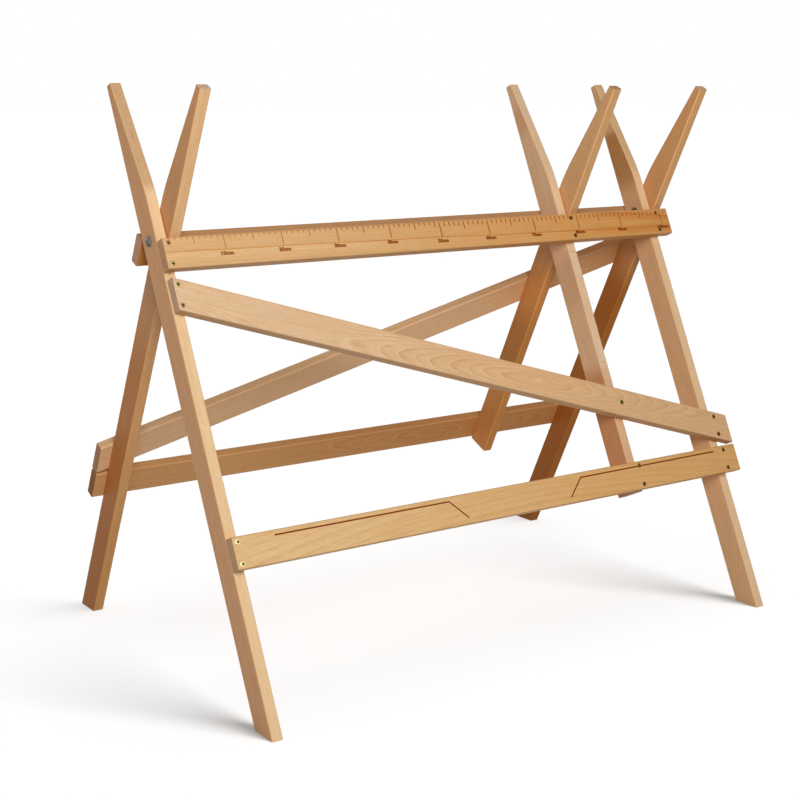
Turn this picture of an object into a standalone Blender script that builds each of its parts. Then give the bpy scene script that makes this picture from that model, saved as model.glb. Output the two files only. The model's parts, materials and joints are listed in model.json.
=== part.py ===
"""Folding log sawhorse: two beech frames that cross like scissors on two pivot bolts.

Units are metres, +Z is up, the front (the side with the ruler rail) faces -Y, and the
feet stand on z = 0. Each frame is built flat in its own axes: x runs along the rails, z up
along the legs from the pivot line, and -y out of the face that carries the rails. The
rear frame is the front one turned half round about the vertical, with its own middle leg.
"""
import math

import bmesh
import bpy
from mathutils import Matrix
from mathutils import Vector

# Legs: stance, section, and lengths measured from the pivot along the leg
LEG_LEAN = math.radians(25.5)
LEG_WIDTH = 0.018
LEG_DEPTH = 0.045
LEG_BELOW = 0.734
LEG_ABOVE = 0.256
TAPER_START = 0.070
TIP_DEPTH = 0.014
PAIR_GAP = 0.0014
MIDDLE_SHARE = 0.792
MIDDLE_OVERHANG = 0.002

# Rails and braces, sawn from one section of board
RAIL_LENGTH = 1.017
RAIL_THICK = 0.018
RAIL_HEIGHT = 0.048
LOWER_RAIL_DROP = 0.456
BRACE_GAP_ABOVE = 0.012
BRACE_GAP_BELOW = 0.0025
BRACE_SETBACK = 0.002
EDGE_ROUND = 0.002
EDGE_STEPS = 2

# Countersunk wood screws with a cross recess
SCREW_HEAD_RADIUS = 0.004
SCREW_SHANK_RADIUS = 0.002
SCREW_TIP_RADIUS = 0.0004
SCREW_SINK = 0.0002
SCREW_SIDES = 12
RECESS_DEPTH = 0.0015
RECESS_REACH = 0.002
RECESS_HALF_WIDTH = 0.0005
RECESS_DRAFT = 0.7

# Pivot bolts with a domed head and square neck, their washers and locking nuts
BOLT_RADIUS = 0.003
BOLT_HEAD_RADIUS = 0.0083
BOLT_HEAD_HEIGHT = 0.0036
BOLT_HEAD_STEPS = 4
BOLT_NECK_HALF = 0.0032
BOLT_NECK_LENGTH = 0.004
BOLT_TAIL = 0.0015
BOLT_CHAMFER = 0.0005
WASHER_RADIUS = 0.009
WASHER_THICK = 0.0016
NUT_ACROSS_FLATS = 0.010
NUT_HEIGHT = 0.006
NUT_HEX_SHARE = 0.7
NUT_COLLAR_SHARE = 0.92
HARDWARE_SIDES = 24

# Clearance between pieces that touch
SEAT_GAP = 0.0003

# Places along the rails, measured from a frame's own left end
PAIR_WIDTH = 2 * LEG_WIDTH + PAIR_GAP
LAST_PAIR = RAIL_LENGTH - PAIR_WIDTH
MIDDLE_PAIR = MIDDLE_SHARE * LAST_PAIR

# Bolt heads stand out on the left and nuts on the right, and the origin is midway
HEAD_REACH = SEAT_GAP + BOLT_HEAD_HEIGHT
NUT_REACH = 2 * SEAT_GAP + WASHER_THICK + NUT_HEIGHT + BOLT_TAIL
CENTRE_SHIFT = (HEAD_REACH - NUT_REACH) / 2
PIVOT_HEIGHT = LEG_BELOW * math.cos(LEG_LEAN)

# Seats of the boards and screws, measured out from the middle of the legs
RAIL_BACK = LEG_DEPTH / 2 + SEAT_GAP
RAIL_FACE = RAIL_BACK + RAIL_THICK
SCREW_LENGTH = RAIL_THICK + 0.6 * LEG_DEPTH
SCREW_OFFSET = RAIL_HEIGHT / 3
SCREW_CONE = SCREW_HEAD_RADIUS - SCREW_SHANK_RADIUS

# The top rail is the stop of the fold: its rounded back edge meets the other frame's legs
FOLD_ANGLE = 2 * LEG_LEAN
ROUND_RISE = EDGE_ROUND * (math.sin(FOLD_ANGLE) + math.cos(FOLD_ANGLE) - 1) / math.sin(FOLD_ANGLE)
TOP_RAIL_DROP = RAIL_BACK * math.tan(LEG_LEAN) - ROUND_RISE

# The brace slopes from under the top rail to just above the lower rail's far end
BRACE_LENGTH = RAIL_LENGTH - BRACE_SETBACK
BRACE_TOP = TOP_RAIL_DROP + RAIL_HEIGHT + BRACE_GAP_ABOVE
BRACE_REACH = LOWER_RAIL_DROP - BRACE_GAP_BELOW - BRACE_TOP
BRACE_SLOPE = (math.acos(RAIL_HEIGHT / math.hypot(BRACE_REACH, BRACE_LENGTH))
               - math.atan2(BRACE_LENGTH, BRACE_REACH))

for old in list(bpy.data.objects):
    bpy.data.objects.remove(old)


def make_material(name, colour, roughness, metallic):
    """A Principled material of one colour."""
    material = bpy.data.materials.new(name)
    material.use_nodes = True
    shader = material.node_tree.nodes["Principled BSDF"]
    shader.inputs["Base Color"].default_value = (*colour, 1.0)
    shader.inputs["Roughness"].default_value = roughness
    shader.inputs["Metallic"].default_value = metallic
    return material


def add_piece(name, mesh, material, parent, place):
    """A named object on a mesh, placed in its frame's axes."""
    piece = bpy.data.objects.new(name, mesh)
    bpy.context.collection.objects.link(piece)
    piece.parent = parent
    piece.matrix_local = place
    if not mesh.materials:
        mesh.materials.append(material)
    return piece


def add_cutter(name, mesh, parent, place):
    """A hidden tool for a hole."""
    cutter = bpy.data.objects.new(name, mesh)
    bpy.context.collection.objects.link(cutter)
    cutter.parent = parent
    cutter.matrix_local = place
    cutter.hide_render = True
    cutter.display_type = "WIRE"
    return cutter


def cut(piece, cutter):
    """Cut a hole in a piece."""
    hole = piece.modifiers.new(cutter.name, "BOOLEAN")
    hole.operation = "DIFFERENCE"
    hole.solver = "EXACT"
    hole.object = cutter


def finish_mesh(name, bm):
    """Turn a closed bmesh into a mesh whose faces point out."""
    bmesh.ops.recalc_face_normals(bm, faces=bm.faces)
    mesh = bpy.data.meshes.new(name)
    bm.to_mesh(mesh)
    bm.free()
    return mesh


def board_mesh(name, outline, thickness, sawn):
    """Extrude an outline to a board and round its long edges.

    The outline's edges listed in sawn are the board's saw-cut ends and stay sharp.
    """
    bm = bmesh.new()
    near = [bm.verts.new(point) for point in outline]
    far = [bm.verts.new(point + thickness) for point in outline]
    bm.faces.new(near)
    bm.faces.new(far)
    skin(bm, (near, far))
    long_edges = []
    for index in range(len(outline)):
        after = (index + 1) % len(outline)
        if index not in sawn:
            long_edges.append(bm.edges.get((near[index], near[after])))
            long_edges.append(bm.edges.get((far[index], far[after])))
    bmesh.ops.bevel(bm, geom=long_edges, offset=EDGE_ROUND, segments=EDGE_STEPS, profile=0.5,
                    affect="EDGES")
    return finish_mesh(name, bm)


def leg_mesh(name, is_long):
    """A leg about its pivot, tapered above it on the side of the V.

    A long leg's foot is sawn level with the floor, a short one's square at the lower rail.
    """
    half = LEG_DEPTH / 2
    foot_front = -(LOWER_RAIL_DROP + RAIL_HEIGHT + MIDDLE_OVERHANG)
    foot_back = foot_front
    if is_long:
        foot_front = -LEG_BELOW - half * math.tan(LEG_LEAN)
        foot_back = -LEG_BELOW + half * math.tan(LEG_LEAN)
    outline = (
        Vector((-LEG_WIDTH / 2, -half, foot_front)),
        Vector((-LEG_WIDTH / 2, half, foot_back)),
        Vector((-LEG_WIDTH / 2, half, LEG_ABOVE)),
        Vector((-LEG_WIDTH / 2, half - TIP_DEPTH, LEG_ABOVE)),
        Vector((-LEG_WIDTH / 2, -half, TAPER_START)),
    )
    return board_mesh(name, outline, Vector((LEG_WIDTH, 0, 0)), sawn=(0, 2))


def rail_mesh(name, length, slope):
    """A board across the legs, whose origin is the top corner of its left end."""
    fall = length * math.tan(slope)
    height = RAIL_HEIGHT / math.cos(slope)
    outline = (
        Vector((0, -RAIL_BACK, 0)),
        Vector((0, -RAIL_BACK, -height)),
        Vector((length, -RAIL_BACK, -fall - height)),
        Vector((length, -RAIL_BACK, -fall)),
    )
    return board_mesh(name, outline, Vector((0, -RAIL_THICK, 0)), sawn=(0, 2))


def round_rule(radius):
    """The radius of a circle at any angle."""
    return lambda angle: radius


def polygon_rule(half_flat, corners):
    """The radius of a regular polygon, with a flat at angle 0."""
    share = 2 * math.pi / corners
    return lambda angle: half_flat / math.cos((angle + share / 2) % share - share / 2)


def add_ring(bm, rule, height, sides, first):
    """A ring of vertices about z, whose radius follows a rule of the angle."""
    points = []
    for step in range(sides):
        angle = first + 2 * math.pi * step / sides
        points.append(bm.verts.new((rule(angle) * math.cos(angle), rule(angle) * math.sin(angle), height)))
    return points


def skin(bm, rings):
    """Join a row of rings with bands of faces."""
    for lower, upper in zip(rings, rings[1:]):
        for step, start in enumerate(lower):
            after = (step + 1) % len(lower)
            bm.faces.new((start, lower[after], upper[after], upper[step]))


def smooth(mesh):
    """Shade a turned mesh smooth between its sharp corners."""
    mesh.shade_smooth()
    mesh.set_sharp_from_angle(angle=math.radians(40))
    return mesh


def turned_mesh(name, profile, sides=HARDWARE_SIDES, first=0.0, bore=None):
    """A body about z from (radius rule, height) pairs, solid or with a round bore."""
    bm = bmesh.new()
    rings = [add_ring(bm, rule, height, sides, first) for rule, height in profile]
    if bore is None:
        bm.faces.new(rings[0])
        bm.faces.new(rings[-1])
    else:
        inner = [add_ring(bm, round_rule(bore), profile[end][1], sides, first) for end in (-1, 0)]
        rings = [*rings, *inner, rings[0]]
    skin(bm, rings)
    return smooth(finish_mesh(name, bm))


def add_cross(bm, size, height):
    """The twelve corners of a cross recess, in step with the ring of a screw's head."""
    reach = RECESS_REACH * size
    half = RECESS_HALF_WIDTH * size
    corners = []
    for quarter in range(4):
        turn = Matrix.Rotation(quarter * math.pi / 2, 3, "Z")
        for x, y in ((reach, half), (half, half), (half, reach)):
            corners.append(bm.verts.new(turn @ Vector((x, y, height))))
    return corners


def screw_mesh(name):
    """A countersunk screw that points along -z, with the face of its head at z = 0."""
    levels = (
        (SCREW_TIP_RADIUS, -SCREW_LENGTH),
        (SCREW_SHANK_RADIUS, 2 * SCREW_SHANK_RADIUS - SCREW_LENGTH),
        (SCREW_SHANK_RADIUS, -SCREW_CONE),
        (SCREW_HEAD_RADIUS, 0.0),
    )
    bm = bmesh.new()
    rings = []
    for radius, height in levels:
        rings.append(add_ring(bm, round_rule(radius), height, SCREW_SIDES, math.pi / SCREW_SIDES))
    mouth = add_cross(bm, 1.0, 0.0)
    floor = add_cross(bm, RECESS_DRAFT, -RECESS_DEPTH)
    skin(bm, [*rings, mouth, floor])
    bm.faces.new(rings[0])
    bm.faces.new(floor)
    return smooth(finish_mesh(name, bm))


def screw_hole_mesh(name):
    """The countersunk hole of a screw, clear of it all round and open above its head."""
    cone_drop = SEAT_GAP * (math.sqrt(2) - 1)
    head = round_rule(SCREW_HEAD_RADIUS + SEAT_GAP)
    shank = round_rule(SCREW_SHANK_RADIUS + SEAT_GAP)
    profile = (
        (shank, -SCREW_LENGTH - SEAT_GAP),
        (shank, -SCREW_CONE - cone_drop),
        (head, -cone_drop),
        (head, SCREW_HEAD_RADIUS),
    )
    return turned_mesh(name, profile, SCREW_SIDES, math.pi / SCREW_SIDES)


def bolt_mesh(name):
    """A domed bolt along +z, with the seat of its head at z = 0."""
    dome_radius = (BOLT_HEAD_RADIUS ** 2 + BOLT_HEAD_HEIGHT ** 2) / (2 * BOLT_HEAD_HEIGHT)
    dome_angle = math.asin(BOLT_HEAD_RADIUS / dome_radius)
    end = PAIR_WIDTH + SEAT_GAP + NUT_REACH
    profile = []
    for step in range(1, BOLT_HEAD_STEPS + 1):
        angle = dome_angle * step / BOLT_HEAD_STEPS
        height = dome_radius * (1 - math.cos(angle)) - BOLT_HEAD_HEIGHT
        profile.append((round_rule(dome_radius * math.sin(angle)), height))
    neck = polygon_rule(BOLT_NECK_HALF, 4)
    shank = round_rule(BOLT_RADIUS)
    profile += [
        (neck, 0.0),
        (neck, BOLT_NECK_LENGTH),
        (shank, BOLT_NECK_LENGTH),
        (shank, end - BOLT_CHAMFER),
        (round_rule(BOLT_RADIUS - BOLT_CHAMFER), end),
    ]
    return turned_mesh(name, profile)


def washer_mesh(name, thickness):
    """A flat ring."""
    rim = round_rule(WASHER_RADIUS)
    return turned_mesh(name, ((rim, 0.0), (rim, thickness)), bore=BOLT_RADIUS + SEAT_GAP)


def nut_mesh(name):
    """A hexagon with the round collar of a locking insert."""
    half_flat = NUT_ACROSS_FLATS / 2
    hexagon = polygon_rule(half_flat, 6)
    shoulder = NUT_HEX_SHARE * NUT_HEIGHT
    collar = NUT_COLLAR_SHARE * half_flat
    profile = (
        (hexagon, 0.0),
        (hexagon, shoulder),
        (round_rule(collar), shoulder),
        (round_rule(collar), NUT_COLLAR_SHARE * NUT_HEIGHT),
        (round_rule(NUT_COLLAR_SHARE * collar), NUT_HEIGHT),
    )
    return turned_mesh(name, profile, bore=BOLT_RADIUS + SEAT_GAP)


BEECH = make_material("beech", (0.66, 0.42, 0.22), 0.5, 0.0)
ZINC = make_material("yellow_zinc", (0.45, 0.38, 0.18), 0.35, 1.0)
STEEL = make_material("steel", (0.42, 0.43, 0.45), 0.4, 1.0)

SCREW = screw_mesh("wood_screw")
SCREW_HOLE = screw_hole_mesh("screw_hole")
BOLT_HOLE = turned_mesh("bolt_hole", ((round_rule(BOLT_RADIUS + SEAT_GAP), -LEG_WIDTH),
                                      (round_rule(BOLT_RADIUS + SEAT_GAP), LEG_WIDTH)))
NECK_CORNER = math.sqrt(2) * (BOLT_NECK_HALF + SEAT_GAP)
NECK_HOLE = turned_mesh("neck_hole", ((round_rule(NECK_CORNER), -BOLT_NECK_LENGTH),
                                      (round_rule(NECK_CORNER), BOLT_NECK_LENGTH)),
                        sides=4, first=math.pi / 4)

LEFT = -RAIL_LENGTH / 2
OUT_OF_FACE = Matrix.Rotation(math.pi / 2, 4, "X")
ALONG_RAIL = Matrix.Rotation(math.pi / 2, 4, "Y")


def add_frame(name, half_turn):
    """The empty of a frame, on the pivot line and leaning as its legs do."""
    frame = bpy.data.objects.new(name, None)
    bpy.context.collection.objects.link(frame)
    frame.empty_display_size = LEG_DEPTH
    frame.location = (CENTRE_SHIFT, 0, PIVOT_HEIGHT)
    frame.rotation_euler = (-LEG_LEAN, 0, half_turn)
    return frame


def build_frame(frame, rail_names, legs):
    """A top rail, a brace and a lower rail screwed on to three legs.

    Each leg is its name, its distance from the frame's left end, and if it is a long one.
    Long legs take two screws from every board, and a short one a single screw from the brace.
    """
    top_name, brace_name, lower_name = rail_names
    boards = (
        (top_name, 0.0, RAIL_LENGTH, TOP_RAIL_DROP, 0.0),
        (brace_name, BRACE_SETBACK, BRACE_LENGTH, BRACE_TOP, BRACE_SLOPE),
        (lower_name, 0.0, RAIL_LENGTH, LOWER_RAIL_DROP, 0.0),
    )
    built_legs = {}
    for leg_name, distance, is_long in legs:
        place = Matrix.Translation((LEFT + distance + LEG_WIDTH / 2, 0, 0))
        leg = add_piece(leg_name, leg_mesh(leg_name, is_long), BEECH, frame, place)
        if is_long:
            cut(leg, add_cutter(f"{leg_name}_bolt_hole", BOLT_HOLE, frame, place @ ALONG_RAIL))
        built_legs[leg_name] = leg
    for board_name, inset, length, drop, slope in boards:
        mesh = rail_mesh(board_name, length, slope)
        board = add_piece(board_name, mesh, BEECH, frame, Matrix.Translation((LEFT + inset, 0, -drop)))
        for leg_name, distance, is_long in legs:
            centre = distance + LEG_WIDTH / 2
            middle = drop + RAIL_HEIGHT / math.cos(slope) / 2 + (centre - inset) * math.tan(slope)
            offsets = (-SCREW_OFFSET, SCREW_OFFSET)
            if slope and not is_long:
                offsets = (0.0,)
            for number, offset in enumerate(offsets, 1):
                seat = Vector((LEFT + centre, SCREW_SINK - RAIL_FACE, -middle - offset))
                place = Matrix.Translation(seat) @ OUT_OF_FACE
                screw_name = f"{board_name}_screw_{leg_name.split('_')[-1]}_{number}"
                add_piece(screw_name, SCREW, ZINC, frame, place)
                hole = add_cutter(f"{screw_name}_hole", SCREW_HOLE, frame, place)
                cut(board, hole)
                cut(built_legs[leg_name], hole)
    return built_legs


def add_pivot(frame, side, distance, leg):
    """A bolt through a pair of legs, with a thin washer between them and a nut on the far side."""
    face = LEFT + distance
    seat = Matrix.Translation((face, 0, 0)) @ ALONG_RAIL
    cut(leg, add_cutter(f"{side}_neck_hole", NECK_HOLE, frame, seat))
    spacer_thick = PAIR_GAP - 2 * SEAT_GAP
    outer = PAIR_WIDTH + SEAT_GAP
    pieces = (
        ("pivot_bolt", bolt_mesh, (), -SEAT_GAP),
        ("spacer_washer", washer_mesh, (spacer_thick,), LEG_WIDTH + SEAT_GAP),
        ("outer_washer", washer_mesh, (WASHER_THICK,), outer),
        ("lock_nut", nut_mesh, (), outer + WASHER_THICK + SEAT_GAP),
    )
    for piece_name, make_mesh, sizes, along in pieces:
        name = f"{side}_{piece_name}"
        place = Matrix.Translation((face + along, 0, 0)) @ ALONG_RAIL
        add_piece(name, make_mesh(name, *sizes), STEEL, frame, place)


FRONT = add_frame("front_frame", 0.0)
FRONT_LEGS = build_frame(FRONT, ("ruler_rail", "front_brace", "front_lower_rail"), (
    ("front_leg_left", 0.0, True),
    ("front_leg_middle", MIDDLE_PAIR, False),
    ("front_leg_right", LAST_PAIR, True),
))
add_pivot(FRONT, "left", 0.0, FRONT_LEGS["front_leg_left"])
add_pivot(FRONT, "right", LAST_PAIR, FRONT_LEGS["front_leg_right"])

REAR = add_frame("rear_frame", math.pi)
build_frame(REAR, ("rear_top_rail", "rear_brace", "rear_lower_rail"), (
    ("rear_leg_right", 0.0, True),
    ("rear_leg_middle", LAST_PAIR - MIDDLE_PAIR, False),
    ("rear_leg_left", LAST_PAIR, True),
))
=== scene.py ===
"""Looks of a folding log sawhorse: two beech frames that cross like scissors on two pivot bolts.

Every piece is in metres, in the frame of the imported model. A frame's own axes have x along its
rails, z up along its legs from the pivot line, and -y out of the face that carries the rails.
"""
import json
import math

import bmesh
import bpy
from mathutils import Matrix
from mathutils import Vector


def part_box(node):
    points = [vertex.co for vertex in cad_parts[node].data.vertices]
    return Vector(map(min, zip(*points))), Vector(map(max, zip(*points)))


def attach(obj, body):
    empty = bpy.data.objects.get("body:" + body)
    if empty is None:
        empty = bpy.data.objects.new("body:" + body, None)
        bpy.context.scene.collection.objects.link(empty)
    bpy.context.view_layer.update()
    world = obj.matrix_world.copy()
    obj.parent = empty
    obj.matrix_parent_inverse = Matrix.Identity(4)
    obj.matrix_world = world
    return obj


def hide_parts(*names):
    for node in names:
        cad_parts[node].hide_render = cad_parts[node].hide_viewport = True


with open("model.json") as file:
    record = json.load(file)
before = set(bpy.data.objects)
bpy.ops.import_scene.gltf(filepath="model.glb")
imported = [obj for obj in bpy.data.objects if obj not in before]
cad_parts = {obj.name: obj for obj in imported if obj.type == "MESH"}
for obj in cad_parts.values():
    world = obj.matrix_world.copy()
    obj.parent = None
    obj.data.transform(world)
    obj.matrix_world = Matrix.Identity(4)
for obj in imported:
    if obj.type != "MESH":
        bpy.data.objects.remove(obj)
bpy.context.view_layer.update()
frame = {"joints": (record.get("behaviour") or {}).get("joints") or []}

# The two frames lean on one pivot line, and the rear one is the front one turned half round.
# The fold closes by twice the lean, so the joint gives the place of both.
fold = frame["joints"][0]
lean = math.radians(fold["range_deg"][1] / 2)
pivot = Vector(fold["pos_m"])
leaning = Matrix.Rotation(-lean, 4, "X")
frame_place = {
    "front": Matrix.Translation(pivot) @ leaning,
    "rear": Matrix.Translation(pivot) @ Matrix.Rotation(math.pi, 4, "Z") @ leaning,
}

# Legs: six beech boards of 18 by 45 mm, planed, with their long edges rounded over. Each tapers
# above the pivot on the side of the V. The long ones stand on a level saw cut, and the short ones
# in the middle end square at the lower rail.
LEG_HALF_DEPTH = 0.0225
LEG_BELOW = 0.734
SHORT_LEG_BELOW = 0.506
LEG_ABOVE = 0.256
TAPER_START = 0.070
TIP_DEPTH = 0.014
KNEE_REACH = 0.024
KNEE_STEPS = 8
EDGE_ROUND = 0.0021
EDGE_STEPS = 5
SAWN_EASE = 0.0006
SHARP_ANGLE = math.radians(38)
SAME_WAY = 0.9999
RING_WIDTH = 0.0027
LEG_DRIFT = 0.006
LEG_FIGURE = 0.42
# Painted highlight: the paler tint of rounded edges where they would catch the light
EDGE_HIGHLIGHT = (1.24, 1.24, 1.24)
# Where a shade that runs on past the foot would fade and end
ENDLESS = (-2.0, -3.0)
# The tints that the legs of a frame share: of their tips, partly the end grain's own tone and
# partly painted light and shade, of their sawn tapers, as painted shade, and of their rounded
# edges, as painted highlight
FRAME_LEGS = {
    "front": dict(ends=(0.94, 1.12, 1.36), lower_edge_shading=EDGE_HIGHLIGHT),
    "rear": dict(sawn=(0.90, 0.86, 0.82), upper_edge_shading=EDGE_HIGHLIGHT),
}
# Each leg's tone, darker on the rear legs partly as painted shade, where the heart of its tree
# lies across its depth and its width, the tint of its wide faces, partly their own tone and partly
# painted light and shade, and the stretches that other boards shade, painted on as tints: each with
# its tint, the share of it on the narrow sides, and where up the leg it begins, is full, fades and
# ends
LEG_WOODS = {
    "front_leg_left": dict(
        tone=(231, 197, 153), heart=(0.021, 0.074), wide=(1.08, 0.82, 0.70),
        sawn=(0.78, 0.70, 0.65), marks=[((0.165, -0.0067, 0.0), (0.011, 0.004, 0.0008))]),
    "front_leg_middle": dict(
        tone=(232, 198, 161), heart=(-0.062, 0.031), wide=(1.00, 0.89, 0.82),
        sawn=(0.97, 0.97, 0.96),
        shades=[((0.90, 0.83, 0.74), 0.0, 0.225, 0.195, 0.175, 0.150),
                ((0.88, 0.85, 0.83), 0.0, -0.060, -0.090, -0.140, -0.190),
                ((0.79, 0.58, 0.43), 0.4, -0.265, -0.305, *ENDLESS)],
        marks=[((-0.073, -0.0225, 0.0), (0.0007, 0.004, 0.0075)),
               ((-0.275, -0.0225, 0.0), (0.0007, 0.004, 0.0075))]),
    "front_leg_right": dict(
        tone=(236, 200, 158), heart=(0.034, -0.058), wide=(0.89, 0.75, 0.65),
        sawn=(0.89, 0.82, 0.73),
        shades=[((0.67, 0.55, 0.37), 0.0, 0.165, 0.148, 0.075, 0.025)]),
    "rear_leg_left": dict(
        tone=(227, 184, 136), heart=(-0.071, 0.020), wide=(1.04, 0.86, 0.76),
        ends=(0.82, 1.02, 1.27), lower_edge_shading=(1.06, 0.98, 0.90),
        shades=[((0.84, 0.64, 0.41), 0.55, -0.070, -0.260, *ENDLESS),
                ((0.78, 0.68, 0.44), 0.5, -0.280, -0.640, *ENDLESS)]),
    "rear_leg_middle": dict(
        tone=(217, 169, 117), heart=(0.018, 0.046), wide=(1.08, 1.06, 1.10),
        ends=(0.70, 0.79, 0.96), lower_edge_shading=(1.36, 1.30, 1.20),
        shades=[((0.93, 0.71, 0.46), 1.0, -0.040, -0.130, *ENDLESS),
                ((0.64, 0.61, 0.50), 0.6, -0.130, -0.250, -0.300, -0.420)]),
    "rear_leg_right": dict(
        tone=(219, 170, 117), heart=(0.055, -0.041), wide=(1.00, 0.92, 0.86),
        ends=(0.99, 1.42, 2.00), lower_edge_shading=(1.36, 1.30, 1.20),
        shades=[((0.61, 0.38, 0.14), 1.0, -0.040, -0.180, *ENDLESS),
                ((0.80, 0.78, 0.62), 0.8, -0.080, -0.160, -0.260, -0.350)]),
}


class Socket:
    """A node's socket that is reckoned with like a number: each operation adds a Math node."""

    def __init__(self, tree, socket=None):
        self.tree = tree
        self.socket = socket

    def node(self, kind, settings=None, sockets=None, out=0):
        """Any other node: first its settings, then the values or links of its sockets."""
        made = self.tree.nodes.new(kind)
        for name, value in (settings or {}).items():
            setattr(made, name, value)
        for key, value in (sockets or {}).items():
            if isinstance(value, Socket):
                self.tree.links.new(value.socket, made.inputs[key])
            else:
                made.inputs[key].default_value = value
        return Socket(self.tree, made.outputs[out])

    def out(self, name):
        """Another output of the same node."""
        return Socket(self.tree, self.socket.node.outputs[name])

    def maths(self, operation, first, second=0.0):
        """One Math node."""
        return self.node("ShaderNodeMath", {"operation": operation}, {0: first, 1: second})

    def __add__(self, other):
        return self.maths("ADD", self, other)

    def __sub__(self, other):
        return self.maths("SUBTRACT", self, other)

    def __rsub__(self, other):
        return self.maths("SUBTRACT", other, self)

    def __mul__(self, other):
        return self.maths("MULTIPLY", self, other)

    def __truediv__(self, other):
        return self.maths("DIVIDE", self, other)

    def __pow__(self, other):
        return self.maths("POWER", self, other)

    __radd__ = __add__
    __rmul__ = __mul__

    def between(self, low, high):
        """0 below low, 1 above high, and a smooth rise between them."""
        return self.node("ShaderNodeMapRange", {"interpolation_type": "SMOOTHSTEP"},
                         {0: self, 1: low, 2: high, 3: 0.0, 4: 1.0})

    def stretched(self, scale, offset=(0.0, 0.0, 0.0)):
        """A vector scaled along each axis and moved, to sample a texture with."""
        return self.node("ShaderNodeVectorMath", {"operation": "MULTIPLY_ADD"},
                         {0: self, 1: scale, 2: offset})

    def parts(self):
        """This vector's x, with its y and z as the node's other outputs."""
        return self.node("ShaderNodeSeparateXYZ", sockets={0: self})

    def vector(self, *parts):
        """A vector of an x, a y and a z."""
        return self.node("ShaderNodeCombineXYZ", sockets=dict(enumerate(parts)))

    def noise(self, detail=2.0, roughness=0.5):
        """Noise at this vector, about 0.5."""
        return self.node("ShaderNodeTexNoise", {"noise_dimensions": "3D"},
                         {"Vector": self, "Scale": 1.0, "Detail": detail, "Roughness": roughness})

    def row_noise(self, scale, detail=1.0):
        """Noise along a line at this value, about 0.5."""
        return self.node("ShaderNodeTexNoise", {"noise_dimensions": "1D"},
                         {"W": self, "Scale": scale, "Detail": detail})

    def mixed(self, under, over):
        """Two colours mixed by this factor."""
        return self.node("ShaderNodeMix", {"data_type": "RGBA"},
                         {0: self, 6: under, 7: over}, out=2)

    def times(self, tint, share=1.0):
        """This colour multiplied by a tint, or by a share of it."""
        return self.node("ShaderNodeMix", {"data_type": "RGBA", "blend_type": "MULTIPLY"},
                         {0: share, 6: self, 7: tint}, out=2)


def linear(red, green, blue):
    """A colour as a screen shows it, from 0 to 255, as the linear one that a shader takes."""
    shares = [value / 255 for value in (red, green, blue)]
    return (*[s / 12.92 if s <= 0.04045 else ((s + 0.055) / 1.055) ** 2.4 for s in shares], 1.0)


def tinted(colour, red, green, blue):
    """A linear colour with each part scaled, as a socket value."""
    return (colour[0] * red, colour[1] * green, colour[2] * blue, 1.0)


def new_material(name):
    """A material with its Principled shader, and a socket to start expressions from."""
    material = bpy.data.materials.new(name)
    material.use_nodes = True
    return material, material.node_tree.nodes["Principled BSDF"], Socket(material.node_tree)


def feed(shader, name, value):
    """Link an expression to a socket of the shader."""
    value.tree.links.new(value.socket, shader.inputs[name])


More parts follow.
